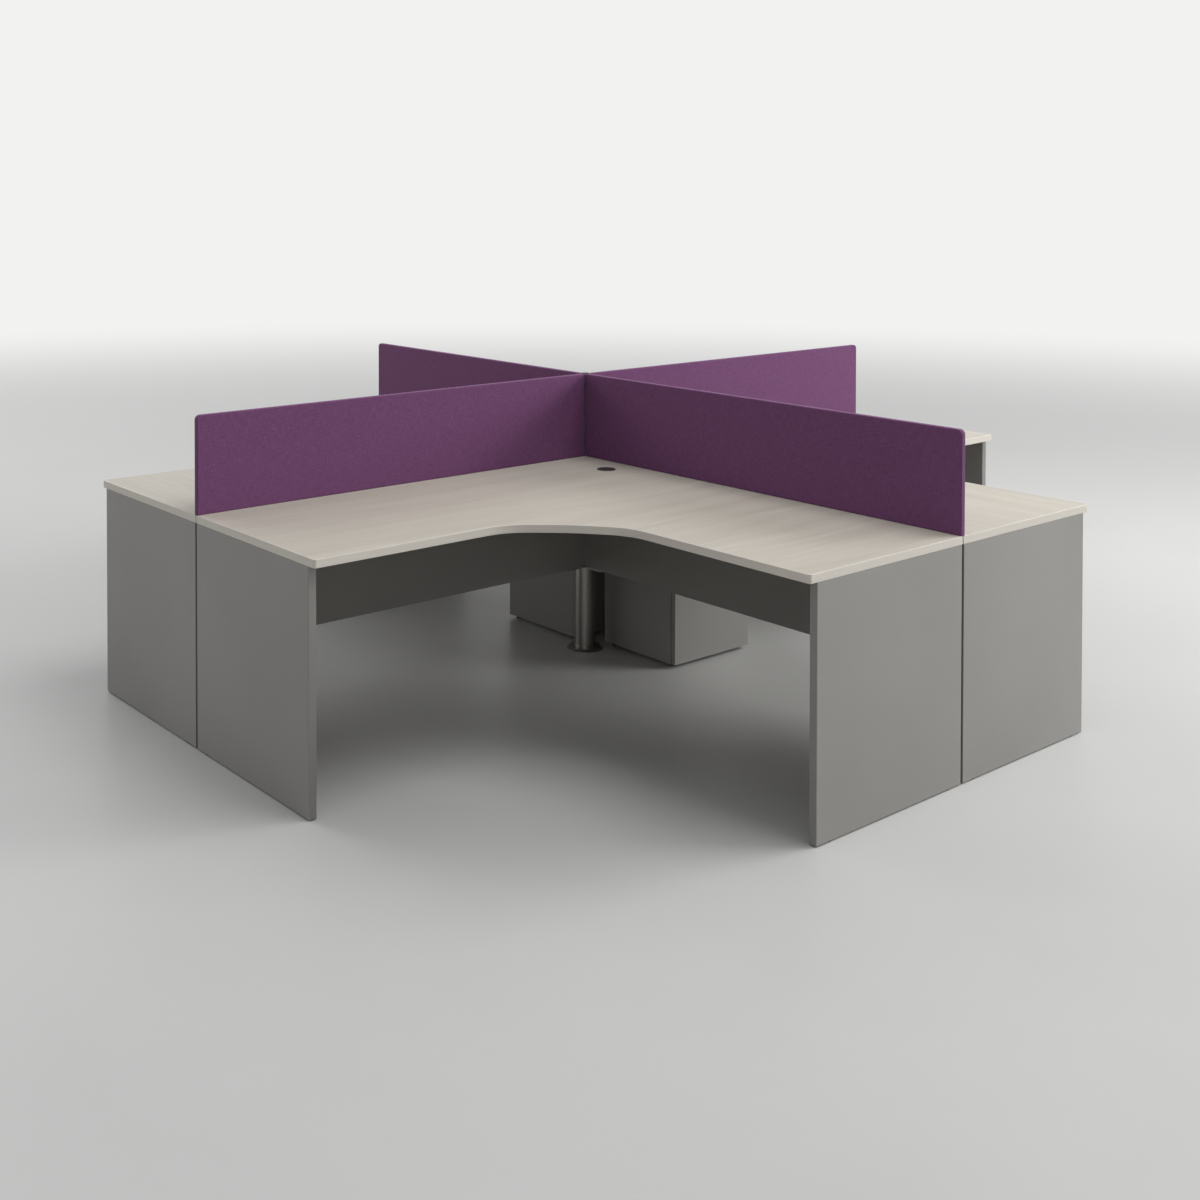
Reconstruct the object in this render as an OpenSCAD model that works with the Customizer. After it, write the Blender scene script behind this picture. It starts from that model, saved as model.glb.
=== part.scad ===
// Four-person workstation: four crescent worktops in a cross on panel ends and a middle leg,
// with fabric screens along both middle lines and two drawer pedestals.
// The origin is on the floor under the middle. Wings run along X and Y, +Z is up.
// Each desk is drawn in the quarter where X and Y are positive and turned into place.
// A desk's left wing, as its user sees it, runs along X in that quarter, its right wing along Y.

/* [Worktops] */
// Distance from the middle to the end of each wing
wing_length = 1650; // [1400:10:1800]
// Depth of a worktop arm, from the middle line to its front edge
arm_depth = 700; // [620:10:800]
// Height of the worktop surface above the floor
desk_height = 740; // [700:5:760]
// Thickness of the worktop board
top_thickness = 25; // [22:1:38]
// Gap between neighbouring worktops
top_gap = 5; // [4:0.5:8]
// Distance along the front edge from the arms' crossing to the start of the seated curve
curve_reach = 265; // [220:5:320]
// Distance that the middle of the seated curve lies outside the arms' crossing
curve_depth = 120; // [90:5:150]
// Radius that blends a straight front edge into the seated curve
curve_blend_radius = 200; // [120:10:240]
// Radius in the middle of the seated curve
curve_middle_radius = 600; // [300:20:800]
// Radius of a worktop's free corners
top_corner_radius = 8; // [4:1:25]
// Cut across each worktop's inner corner, which leaves room for the tie bolt
inner_corner_cut = 14; // [12:1:18]
// Thickness of the plastic edging on worktops and end panels
edging_thickness = 2; // [1:0.5:3]

/* [End panels] */
// Thickness of an end panel
panel_thickness = 25; // [18:1:30]
// Gap between the end panels, and between the modesty panels, of neighbouring desks
panel_gap = 10; // [8:1:16]
// Overhang of the worktop past an end panel's front edge
panel_overhang = 30; // [10:5:60]
// Height of the gap under an end panel
panel_glide_height = 4; // [3:1:12]

/* [Modesty panels] */
// Thickness of a modesty panel
modesty_thickness = 18; // [15:1:22]
// Height of a modesty panel
modesty_height = 395; // [300:5:450]
// Distance from a screen bracket to the modesty panel's angle bracket beside it
modesty_bracket_offset = 90; // [60:5:120]

/* [Screens] */
// Height of a screen above the worktop
screen_height = 315; // [250:5:450]
// Thickness of a screen with its fabric
screen_thickness = 20; // [18:1:30]
// Radius of a screen's free upper corner
screen_corner_radius = 16; // [6:2:60]
// Distance that the screen between the back and left desks stops short of the wing's end
short_screen_setback = 260; // [0:10:300]
// Distance that the joiner where the screens meet stands proud of them
joiner_margin = 1; // [0.5:0.5:4]
// Thickness of the joiner's cap
joiner_cap_thickness = 3; // [2:0.5:5]

/* [Screen brackets and joining bolts] */
// Distance from the middle to the inner bracket of each screen
inner_bracket_place = 560; // [520:10:640]
// Distance from the end of the wing to the outer bracket of each screen
outer_bracket_inset = 350; // [340:10:450]
// Width of a bracket plate
bracket_plate_width = 60; // [40:5:80]
// Thickness of a bracket plate
bracket_plate_thickness = 3; // [2:0.5:3]
// Height that a bracket plate reaches into the screen
bracket_plate_rise = 45; // [30:5:80]
// Distance that a bracket plate hangs below the worktops
bracket_plate_drop = 60; // [50:5:90]
// Distance of a joining bolt below the worktops
bolt_drop = 30; // [25:1:40]
// Diameter of a joining bolt's shank
bolt_diameter = 8; // [6:1:10]
// Diameter of a joining bolt's head
bolt_head_diameter = 18; // [16:1:20]
// Thickness of a joining bolt's head
bolt_head_thickness = 3; // [2:0.5:4]

/* [Middle leg] */
// Diameter of the leg tube
leg_diameter = 80; // [60:2:90]
// Wall of the leg tube
leg_wall = 2; // [1.5:0.5:4]
// Diameter of the round foot
foot_diameter = 140; // [120:5:164]
// Thickness of the round foot
foot_thickness = 8; // [6:1:11]
// Length of a head arm from the middle
head_arm_length = 110; // [90:5:160]
// Distance that a head arm's sides lie inside the modesty panels' faces
head_arm_margin = 1; // [0.5:0.5:3]
// Distance from a head arm's end to its screws
head_screw_inset = 20; // [12:1:25]
// Thickness of the head plate
head_thickness = 5; // [4:1:8]
// Diameter of the tie bolt between head plate and screen joiner
tie_bolt_diameter = 8; // [6:1:10]
// Length of the tie bolt in the joiner
tie_bolt_grip = 60; // [40:5:100]

/* [Grommets] */
// Place of a grommet across the left wing
grommet_x = 128; // [110:2:160]
// Place of a grommet across the right wing
grommet_y = 254; // [240:2:300]
// Diameter of the hole in the worktop
grommet_hole_diameter = 60; // [50:1:62]
// Diameter of the sleeve's flange
grommet_flange_diameter = 68; // [65:1:90]
// Thickness of the sleeve's flange above the worktop
grommet_flange_thickness = 2; // [1.5:0.5:3]
// Depth of the sleeve below the worktop surface
grommet_sleeve_depth = 20; // [14:1:21]
// Wall of the sleeve
grommet_wall = 2.7; // [2:0.1:4]
// Width of the cable mouth in the cap
mouth_width = 14; // [10:1:18]
// Length of the cable mouth from the cap's rim
mouth_length = 17; // [14:1:20]

/* [Pedestals] */
// Width of a pedestal
pedestal_width = 400; // [380:5:480]
// Depth of a pedestal with its drawer fronts
pedestal_depth = 375; // [350:5:500]
// Height of a pedestal above the floor
pedestal_height = 600; // [560:5:640]
// Height of the gap under a pedestal
pedestal_glide_height = 12; // [8:1:20]
// Distance from the middle line to the pedestal's side
pedestal_place = 82; // [60:2:120]
// Thickness of the pedestal's boards and drawer fronts
pedestal_board = 18; // [15:1:20]
// Height of the filing drawer's front
file_front_height = 270; // [250:5:290]
// Height of the finger gap above each drawer front
finger_gap = 18; // [15:1:22]
// Gap between a closed drawer front and the carcass
front_gap = 2; // [1:0.5:4]
// Height of the hollow behind a drawer front's top edge, for the fingers
grip_height = 10; // [6:1:12]
// Thickness left at a drawer front's top edge
grip_lip = 7; // [5:1:12]
// Distance of a drawer box's rim below its front's top edge
rim_drop = 30; // [30:1:45]
// Distance of a drawer box's bottom above its front's bottom edge
box_lift = 22; // [22:1:26]
// Distance that a drawer opens
drawer_travel = 250; // [200:10:280]
// Wall of a drawer box
box_wall = 12; // [8:1:15]
// Thickness of a drawer's bottom
box_bottom = 5; // [4:1:8]
// Width of the space for a runner beside a drawer box
runner_width = 13; // [12:0.5:16]
// Height of a runner
runner_height = 34; // [26:1:36]
// Wall of a runner rail
runner_wall = 1.5; // [1:0.25:2]
// Diameter of the lock barrel
lock_diameter = 16; // [12:1:18]
// Distance from the lock to the front's right edge
lock_inset = 60; // [45:5:80]
// Length of the lock's cam from the barrel's axis
cam_length = 42; // [40:1:43]

/* [Fixings] */
// Leg length and width of an angle bracket
angle_size = 28; // [24:1:32]
// Thickness of an angle bracket
angle_thickness = 2.5; // [2:0.5:3]
// Diameter of a wood screw
screw_diameter = 4; // [3:0.5:5]
// Length of a pedestal screw's grip in the modesty panel
screw_length = 12; // [8:1:14]
// Length of a head arm screw's grip in the modesty panel's edge
edge_screw_length = 30; // [20:1:40]
// Distance from an end panel's back edge to its first angle bracket
panel_bracket_start = 180; // [120:10:240]
// Distance from an end panel's front edge to its last angle bracket
panel_bracket_inset = 120; // [80:10:200]
// Height of a modesty panel's side bracket above its lower edge
side_bracket_lift = 60; // [40:5:100]
// Diameter of a wood screw's head
screw_head_diameter = 8; // [7:0.5:9]
// Diameter of a glide's pad under an end panel
panel_glide_diameter = 22; // [16:1:24]
// Diameter of a glide's pad under a pedestal
pedestal_glide_diameter = 30; // [20:1:36]
// Diameter of a glide's stem
glide_stem_diameter = 8; // [6:1:10]
// Length of a glide's stem
glide_stem_length = 25; // [15:1:30]
// Distance from a panel's edge to its glide
glide_inset = 60; // [40:5:120]

/* [Hidden] */

// Colours
wood_white = "#d8cfc2";
edging_beige = "#b3a898";
board_grey = "#8f8f8d";
purple = "#5f3a5c";
silver = "#b4b6b8";
steel = "#9a9c9e";
black = "#1c1c1d";
box_grey = "#a9aaab";

// Turns that put the quarter's desk into each place
turn_a = 180;
turn_b = 270;
turn_c = 0;
turn_d = 90;
ALL_TURNS = [turn_a, turn_b, turn_c, turn_d];
PEDESTAL_TURNS = [turn_b, turn_c];

// Clearances
running_gap = 0.3;
hole_clearance = 0.2;
lock_clearance = 0.08;
butt_gap = 0.2;

underside = desk_height - top_thickness;
wall_inside = panel_gap / 2 + modesty_thickness;
panel_inside = wing_length - panel_thickness;
modesty_bottom = underside - modesty_height;
joiner_width = screen_thickness + 2 * joiner_margin;
bracket_places = [inner_bracket_place, wing_length - outer_bracket_inset];

CURVE_STEPS = 8;
ROUND = 48;

// Outlines with rounded corners

function unit(v) = v / norm(v);

// Arc that rounds the corner p between its neighbours a and b
function round_corner(a, p, b, r) =
    r <= 0 ? [p] :
    let (u = unit(a - p), v = unit(b - p), half = acos(u * v) / 2)
    let (centre = p + unit(u + v) * r / sin(half))
    let (from = p + u * r / tan(half) - centre, to = p + v * r / tan(half) - centre)
    let (sweep = atan2(cross(from, to), from * to))
    [for (k = [0:CURVE_STEPS]) let (t = sweep * k / CURVE_STEPS)
        centre + [from.x * cos(t) - from.y * sin(t), from.x * sin(t) + from.y * cos(t)]];

function point_before(points, i) = points[(i + len(points) - 1) % len(points)];
function point_after(points, i) = points[(i + 1) % len(points)];

function rounded(points, radii) = [for (i = [0:len(points) - 1])
    each round_corner(point_before(points, i), points[i], point_after(points, i), radii[i])];

function left_normal(a, b) = let (d = unit(b - a)) [-d.y, d.x];

// Corner points moved inwards by d, for points that run anticlockwise
function inset_points(points, d) = [for (i = [0:len(points) - 1])
    let (m = left_normal(point_before(points, i), points[i]))
    let (n = left_normal(points[i], point_after(points, i)))
    points[i] + d * (m + n) / (1 + m * n)];

// Radii that keep the arcs parallel: an outer corner's shrinks, an inner corner's grows
function inset_radii(points, radii, d) = [for (i = [0:len(points) - 1])
    radii[i] == 0 ? 0 :
    cross(points[i] - point_before(points, i), point_after(points, i) - points[i]) > 0
        ? max(radii[i] - d, 0.1) : radii[i] + d];

half_gap = top_gap / 2;
curve_end = arm_depth + curve_reach;
curve_mid = arm_depth + curve_depth;
TOP_POINTS = [
    [inner_corner_cut, half_gap], [wing_length, half_gap], [wing_length, arm_depth],
    [curve_end, arm_depth], [curve_mid, curve_mid], [arm_depth, curve_end],
    [arm_depth, wing_length], [half_gap, wing_length], [half_gap, inner_corner_cut]
];
TOP_RADII = [
    0, 0, top_corner_radius,
    curve_blend_radius, curve_middle_radius, curve_blend_radius,
    top_corner_radius, 0, 0
];

module top_outline(inset) {
    polygon(rounded(inset_points(TOP_POINTS, inset), inset_radii(TOP_POINTS, TOP_RADII, inset)));
}

// A left wing's piece moved to the right wing
module right_wing() {
    mirror([1, -1, 0]) children();
}

// Copies of a piece on both wings of a desk
module both_wings() {
    children();
    right_wing() children();
}

// Copies of a piece at every desk
module every_desk() {
    for (turn = ALL_TURNS) rotate(turn) children();
}

// Worktops

module grommet_place() {
    translate([grommet_x, grommet_y, desk_height]) children();
}

module worktop(turn) {
    color(wood_white) rotate(turn) difference() {
        translate([0, 0, underside]) linear_extrude(top_thickness) top_outline(edging_thickness);
        grommet_place() translate([0, 0, -top_thickness - 1])
            cylinder(h = top_thickness + 2, d = grommet_hole_diameter, $fn = ROUND);
    }
}

module worktop_edging() {
    color(edging_beige) every_desk() translate([0, 0, underside]) linear_extrude(top_thickness) difference() {
        top_outline(0);
        top_outline(edging_thickness);
    }
}

// End panels

panel_back = panel_gap / 2;
panel_front = arm_depth - panel_overhang;
panel_height = underside - panel_glide_height;
glide_places = [panel_back + glide_inset, panel_front - glide_inset];

module end_panel_left() {
    difference() {
        translate([panel_inside, panel_back + edging_thickness, panel_glide_height])
            cube([panel_thickness, panel_front - panel_back - 2 * edging_thickness, panel_height]);
        for (y = glide_places) translate([panel_inside + panel_thickness / 2, y, panel_glide_height - 1])
            cylinder(h = glide_stem_length + 2, d = glide_stem_diameter + 2 * hole_clearance, $fn = ROUND);
    }
}

module end_panel(turn, right = false) {
    color(board_grey) rotate(turn) {
        if (right) right_wing() end_panel_left();
        else end_panel_left();
    }
}

module end_panel_edging() {
    color(board_grey) every_desk() both_wings()
        for (y = [panel_back, panel_front - edging_thickness])
            translate([panel_inside, y, panel_glide_height])
                cube([panel_thickness, edging_thickness, panel_height]);
}

// Modesty panels

// Holes or bolts across the middle line at the screen brackets
module at_joining_bolts() {
    for (x = bracket_places) translate([x, 0, underside - bolt_drop]) rotate([-90, 0, 0]) children();
}

module modesty_panel(start) {
    difference() {
        translate([start, panel_gap / 2, modesty_bottom])
            cube([panel_inside - butt_gap - start, modesty_thickness, modesty_height]);
        at_joining_bolts() cylinder(h = wall_inside + 1, d = bolt_diameter + 2 * hole_clearance, $fn = ROUND);
    }
}

// The left wing's panel runs into the corner, and the right wing's ends against it
module modesty_panels(turn) {
    color(board_grey) rotate(turn) {
        modesty_panel(panel_gap / 2);
        right_wing() modesty_panel(wall_inside + butt_gap);
    }
}

// Screens

module screen(turn, setback = 0) {
    start = joiner_width / 2;
    end = wing_length - setback;
    points = [[start, 0], [end, 0], [end, screen_height], [start, screen_height]];
    color(purple) rotate(turn) difference() {
        translate([0, screen_thickness / 2, desk_height]) rotate([90, 0, 0])
            linear_extrude(screen_thickness) polygon(rounded(points, [0, 0, screen_corner_radius, 0]));
        for (x = bracket_places)
            translate([
                x - bracket_plate_width / 2 - hole_clearance,
                -bracket_plate_thickness / 2 - hole_clearance,
                desk_height - 1
            ])
                cube([
                    bracket_plate_width + 2 * hole_clearance,
                    bracket_plate_thickness + 2 * hole_clearance,
                    bracket_plate_rise + 1 + hole_clearance
                ]);
    }
}

module screen_joiner() {
    color(silver) translate([-joiner_width / 2, -joiner_width / 2, desk_height]) difference() {
        cube([joiner_width, joiner_width, screen_height]);
        translate([joiner_width / 2, joiner_width / 2, -1])
            cylinder(h = tie_bolt_grip + 2, d = tie_bolt_diameter + 2 * hole_clearance, $fn = ROUND);
    }
}

module screen_joiner_cap() {
    color(black) translate([-joiner_width / 2, -joiner_width / 2, desk_height + screen_height])
        cube([joiner_width, joiner_width, joiner_cap_thickness]);
}

module screen_bracket_plates() {
    color(steel) every_desk() for (x = bracket_places) difference() {
        translate([x - bracket_plate_width / 2, -bracket_plate_thickness / 2, underside - bracket_plate_drop])
            cube([
                bracket_plate_width,
                bracket_plate_thickness,
                bracket_plate_drop + top_thickness + bracket_plate_rise
            ]);
        translate([x, bracket_plate_thickness, underside - bolt_drop]) rotate([90, 0, 0])
            cylinder(h = 2 * bracket_plate_thickness, d = bolt_diameter + 2 * hole_clearance, $fn = ROUND);
    }
}

// Bolt with both heads and the two spacers that centre the bracket plate
module joining_bolt() {
    half_plate = bracket_plate_thickness / 2;
    radius = bolt_diameter / 2;
    spacer_radius = radius + 4;
    head_radius = bolt_head_diameter / 2;
    rotate_extrude($fn = ROUND) polygon([
        [0, -wall_inside - bolt_head_thickness], [head_radius, -wall_inside - bolt_head_thickness],
        [head_radius, -wall_inside], [radius, -wall_inside],
        [radius, -panel_gap / 2], [spacer_radius, -panel_gap / 2],
        [spacer_radius, -half_plate], [radius, -half_plate],
        [radius, half_plate], [spacer_radius, half_plate],
        [spacer_radius, panel_gap / 2], [radius, panel_gap / 2],
        [radius, wall_inside], [head_radius, wall_inside],
        [head_radius, wall_inside + bolt_head_thickness], [0, wall_inside + bolt_head_thickness]
    ]);
}

module joining_bolts() {
    color(steel) every_desk() at_joining_bolts() joining_bolt();
}

// Middle leg: a post whose head plate carries the modesty panels where they cross

leg_top = modesty_bottom - head_thickness;
head_arm_width = 2 * (wall_inside - head_arm_margin);
head_screw_x = head_arm_length - head_screw_inset;
head_screw_y = (panel_gap + modesty_thickness) / 2;
leg_inner_radius = leg_diameter / 2 - leg_wall;
spigot_height = 20;
spigot_wall = 3;

// Short ring that centres the tube on the foot and the head
module leg_spigot() {
    r = leg_inner_radius - hole_clearance;
    difference() {
        cylinder(h = spigot_height, r = r, $fn = 2 * ROUND);
        translate([0, 0, -1]) cylinder(h = spigot_height + 2, r = r - spigot_wall, $fn = 2 * ROUND);
    }
}

module middle_leg_tube() {
    color(silver) translate([0, 0, foot_thickness]) difference() {
        cylinder(h = leg_top - foot_thickness, d = leg_diameter, $fn = 2 * ROUND);
        translate([0, 0, -1])
            cylinder(h = leg_top - foot_thickness + 2, r = leg_inner_radius, $fn = 2 * ROUND);
    }
}

module middle_leg_foot() {
    rim = 2;
    r = foot_diameter / 2;
    color(silver) {
        rotate_extrude($fn = 2 * ROUND) polygon([
            [0, 0], [r, 0], [r, rim], [r - 4 * rim, foot_thickness], [0, foot_thickness]
        ]);
        translate([0, 0, foot_thickness]) leg_spigot();
    }
}

module head_arms() {
    hub_margin = 10;
    circle(r = leg_diameter / 2 + hub_margin, $fn = 2 * ROUND);
    for (turn = ALL_TURNS) rotate(turn) translate([0, -head_arm_width / 2])
        square([head_arm_length, head_arm_width]);
}

// Screws of the head arms, two into each desk's modesty panels
module at_head_screws() {
    every_desk() for (side = [-1, 1]) translate([head_screw_x, side * head_screw_y]) children();
}

module middle_leg_head() {
    color(silver) {
        translate([0, 0, leg_top]) linear_extrude(head_thickness) difference() {
            head_arms();
            circle(d = tie_bolt_diameter + 2 * hole_clearance, $fn = ROUND);
            at_head_screws() circle(d = screw_diameter + 2 * hole_clearance, $fn = ROUND);
        }
        translate([0, 0, leg_top - spigot_height]) leg_spigot();
    }
}

module tie_bolt() {
    head_height = 5;
    radius = tie_bolt_diameter / 2;
    color(steel) rotate_extrude($fn = ROUND) polygon([
        [0, leg_top - head_height], [2 * radius, leg_top - head_height], [2 * radius, leg_top],
        [radius, leg_top], [radius, desk_height + tie_bolt_grip], [0, desk_height + tie_bolt_grip]
    ]);
}

// Grommets

sleeve_outer = grommet_hole_diameter / 2 - hole_clearance;
sleeve_inner = sleeve_outer - grommet_wall;
cap_depth = 6;
ledge_width = 2.5;
cap_radius = sleeve_inner - running_gap;

module grommet_sleeves() {
    flange_radius = grommet_flange_diameter / 2;
    color(black) every_desk() grommet_place() rotate_extrude($fn = 2 * ROUND) polygon([
        [flange_radius, 0], [flange_radius, grommet_flange_thickness / 2],
        [flange_radius - 1, grommet_flange_thickness], [sleeve_inner, grommet_flange_thickness],
        [sleeve_inner, -cap_depth], [sleeve_inner - ledge_width, -cap_depth],
        [sleeve_inner - ledge_width, -grommet_sleeve_depth], [sleeve_outer, -grommet_sleeve_depth],
        [sleeve_outer, 0]
    ]);
}

module grommet_cap(turn) {
    mouth_middle = cap_radius - mouth_length + mouth_width / 2;
    bottom = running_gap - cap_depth;
    color(black) rotate(turn) grommet_place() translate([0, 0, bottom])
        linear_extrude(grommet_flange_thickness - bottom) difference() {
            circle(r = cap_radius, $fn = 2 * ROUND);
            translate([0, mouth_middle]) circle(d = mouth_width, $fn = ROUND);
            translate([-mouth_width / 2, mouth_middle]) square([mouth_width, mouth_length]);
        }
}

// Angle brackets

screw_place = angle_size * 0.6;

// Bracket in the corner below a worktop: one leg along +Y under it, one hanging down against a face at y = 0
module angle_bracket() {
    clear = screw_diameter + 2 * hole_clearance;
    difference() {
        translate([angle_size / 2, 0, 0]) rotate([0, -90, 0]) linear_extrude(angle_size) polygon([
            [0, 0], [0, angle_size], [-angle_thickness, angle_size], [-angle_thickness, angle_thickness],
            [-angle_size, angle_thickness], [-angle_size, 0]
        ]);
        translate([0, screw_place, -angle_thickness - 1])
            cylinder(h = angle_thickness + 2, d = clear, $fn = 24);
        translate([0, -1, -screw_place]) rotate([-90, 0, 0])
            cylinder(h = angle_thickness + 2, d = clear, $fn = 24);
    }
}

modesty_bracket_places = [
    bracket_places[0] + modesty_bracket_offset,
    bracket_places[1] - modesty_bracket_offset
];
panel_bracket_places = [panel_back + panel_bracket_start, panel_front - panel_bracket_inset];
corner_bracket_height = modesty_bottom + side_bracket_lift;

// Every corner that an angle bracket holds, on both wings of every desk
module at_angle_brackets() {
    every_desk() both_wings() {
        for (x = modesty_bracket_places) translate([x, wall_inside, underside]) children();
        for (y = panel_bracket_places) translate([panel_inside, y, underside]) rotate(90) children();
        translate([panel_inside, wall_inside, corner_bracket_height]) rotate([0, 90, 0]) children();
    }
}

module angle_brackets() {
    color(steel) at_angle_brackets() angle_bracket();
}

// Levelling glides

module glide(pad_diameter, pad_height, stem_length) {
    r = pad_diameter / 2;
    stem = glide_stem_diameter / 2;
    stem_top = pad_height + stem_length;
    rotate_extrude($fn = ROUND) polygon([
        [0, 0], [r - 1, 0], [r, 1], [r, pad_height], [stem, pad_height],
        [stem, stem_top - 1], [stem - 1, stem_top], [0, stem_top]
    ]);
}

// Board left above a pedestal glide's stem
stem_room = 3;

module at_pedestal_glides() {
    for (x = pedestal_glide_x, y = pedestal_glide_y) translate([x, y, 0]) children();
}

module levelling_glides() {
    color(black) {
        every_desk() both_wings() for (y = glide_places)
            translate([panel_inside + panel_thickness / 2, y, 0])
                glide(panel_glide_diameter, panel_glide_height, glide_stem_length);
        for (turn = PEDESTAL_TURNS) rotate(turn) at_pedestal_glides()
            glide(pedestal_glide_diameter, pedestal_glide_height, pedestal_board - stem_room);
    }
}

// Pedestals: the back stands against a modesty panel, and the drawers open along +X

carcass_back = wall_inside;
carcass_front = carcass_back + pedestal_depth - pedestal_board - front_gap;
front_face = carcass_back + pedestal_depth;
carcass_left = pedestal_place;
carcass_right = pedestal_place + pedestal_width;
carcass_bottom = pedestal_glide_height;
carcass_top = pedestal_height;
side_top = carcass_top - pedestal_board;

pedestal_glide_inset = 30;
pedestal_glide_x = [carcass_back + pedestal_glide_inset, carcass_front - pedestal_glide_inset];
pedestal_glide_y = [carcass_left + pedestal_glide_inset, carcass_right - pedestal_glide_inset];

back_screw_inset = 60;
back_screw_lift = 40;
back_screw_places = [carcass_left + back_screw_inset, carcass_right - back_screw_inset];
back_screw_heights = [modesty_bottom + back_screw_lift, side_top - back_screw_inset];

fronts_bottom_gap = 2;
fronts_bottom = carcass_bottom + fronts_bottom_gap;
small_front_height = (side_top - fronts_bottom - file_front_height - 3 * finger_gap) / 2;
middle_front_bottom = fronts_bottom + file_front_height + finger_gap;
top_front_bottom = middle_front_bottom + small_front_height + finger_gap;
front_side_gap = 1;

box_left = carcass_left + pedestal_board + runner_width;
box_width = pedestal_width - 2 * pedestal_board - 2 * runner_width;
box_front = front_face - pedestal_board;
box_back_room = 14;
box_back = carcass_back + pedestal_board + box_back_room;
runner_lift = 14;
runner_back_room = 4;
runner_front_room = 6;
runner_start = box_back + runner_back_room;
runner_length = carcass_front - runner_start - runner_front_room;

// The stops meet when a drawer is open by its travel
stop_thickness = 2;
stop_height = 12;
stop_room = 4;
outer_stop_start = runner_start + runner_length - stop_thickness;
inner_stop_start = outer_stop_start - drawer_travel - running_gap - stop_thickness;

lock_radius = lock_diameter / 2;
lock_y = carcass_right - lock_inset;
lock_top_room = 2;
lock_z = top_front_bottom + small_front_height - grip_height - lock_radius - lock_top_room;
lock_reach = 8;
cam_thickness = 2;
cam_width = 10;
cam_x = box_front - lock_reach - cam_thickness;
cam_room = 3;
pocket_top = lock_z + norm([cam_length, cam_width / 2]) + 1;

// Wood screws: the middle leg's head and the pedestals' backs into the modesty panels

// Screw that drives along +Z, with its head's underside at z = 0
module wood_screw(length) {
    head_height = 2;
    head_radius = screw_head_diameter / 2;
    radius = screw_diameter / 2;
    rotate_extrude($fn = 24) polygon([
        [0, -head_height], [head_radius * 0.6, -head_height], [head_radius, 0],
        [radius, 0], [radius, length - radius], [0, length]
    ]);
}

module wood_screws() {
    color(steel) {
        translate([0, 0, leg_top]) at_head_screws() wood_screw(head_thickness + edge_screw_length);
        for (turn = PEDESTAL_TURNS, y = back_screw_places, z = back_screw_heights) rotate(turn)
            translate([carcass_back + pedestal_board, y, z]) rotate([0, -90, 0])
                wood_screw(pedestal_board + screw_length);
    }
}

// Slot in the top board's underside that the lock's cam turns into
module cam_pocket() {
    side = cam_width / 2 + cam_room;
    translate([cam_x - cam_room, lock_y - cam_length, side_top - 1])
        cube([cam_thickness + 2 * cam_room, cam_length + side, pocket_top - side_top + 1]);
}

module pedestal_carcass(turn) {
    depth = carcass_front - carcass_back;
    color(board_grey) rotate(turn) {
        for (y = [carcass_left, carcass_right - pedestal_board])
            translate([carcass_back, y, carcass_bottom])
                cube([depth, pedestal_board, side_top - carcass_bottom]);
        difference() {
            translate([carcass_back, carcass_left + pedestal_board, carcass_bottom])
                cube([depth, pedestal_width - 2 * pedestal_board, pedestal_board]);
            at_pedestal_glides() translate([0, 0, carcass_bottom - 1])
                cylinder(h = pedestal_board - 1, d = glide_stem_diameter + 2 * hole_clearance, $fn = ROUND);
        }
        difference() {
            translate([carcass_back, carcass_left, side_top])
                cube([pedestal_depth, pedestal_width, pedestal_board]);
            cam_pocket();
        }
    }
}

module pedestal_back(turn) {
    color(board_grey) rotate(turn) difference() {
        translate([carcass_back, carcass_left + pedestal_board, carcass_bottom + pedestal_board])
            cube([
                pedestal_board,
                pedestal_width - 2 * pedestal_board,
                side_top - carcass_bottom - pedestal_board
            ]);
        for (y = back_screw_places, z = back_screw_heights)
            translate([carcass_back - 1, y, z]) rotate([0, 90, 0])
                cylinder(h = pedestal_board + 2, d = screw_diameter + 2 * hole_clearance, $fn = 24);
    }
}

// Profile extruded along the drawers' travel, drawn with Y to the right and Z up
module along_travel(start, length) {
    translate([start, 0, 0]) rotate([90, 0, 90]) linear_extrude(length) children();
}

// Copies of a profile at the left side of the drawers and, mirrored, at the right side
module both_sides() {
    children();
    translate([2 * carcass_left + pedestal_width, 0]) mirror([1, 0]) children();
}

// Outer rail: a channel on the carcass side, open towards the drawer
module outer_rail(bottom) {
    depth = runner_width - 0.5;
    translate([carcass_left + pedestal_board, bottom + runner_lift]) difference() {
        square([depth, runner_height]);
        translate([runner_wall, runner_wall]) square([depth, runner_height - 2 * runner_wall]);
    }
}

// Inner rail: a channel on the drawer's side that runs inside the outer one
module inner_rail(bottom) {
    gap = runner_wall + running_gap;
    width = runner_width - gap;
    height = runner_height - 2 * gap;
    translate([carcass_left + pedestal_board + gap, bottom + runner_lift + gap]) difference() {
        square([width, height]);
        translate([-1, runner_wall]) square([width + 1 - runner_wall, height - 2 * runner_wall]);
    }
}

// Stop of the outer rail, on its back wall, and stop of the inner rail, on its web
module outer_stop(bottom) {
    translate([carcass_left + pedestal_board, bottom + runner_lift + (runner_height - stop_height) / 2])
        square([runner_width - stop_room, stop_height]);
}

module inner_stop(bottom) {
    translate([
        carcass_left + pedestal_board + stop_room,
        bottom + runner_lift + (runner_height - stop_height) / 2
    ])
        square([runner_width - stop_room, stop_height]);
}

module pedestal_runners(turn) {
    color(steel) rotate(turn) for (front = [fronts_bottom, middle_front_bottom, top_front_bottom]) {
        along_travel(runner_start, runner_length) both_sides() outer_rail(front + box_lift);
        along_travel(outer_stop_start, stop_thickness) both_sides() outer_stop(front + box_lift);
    }
}

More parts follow.
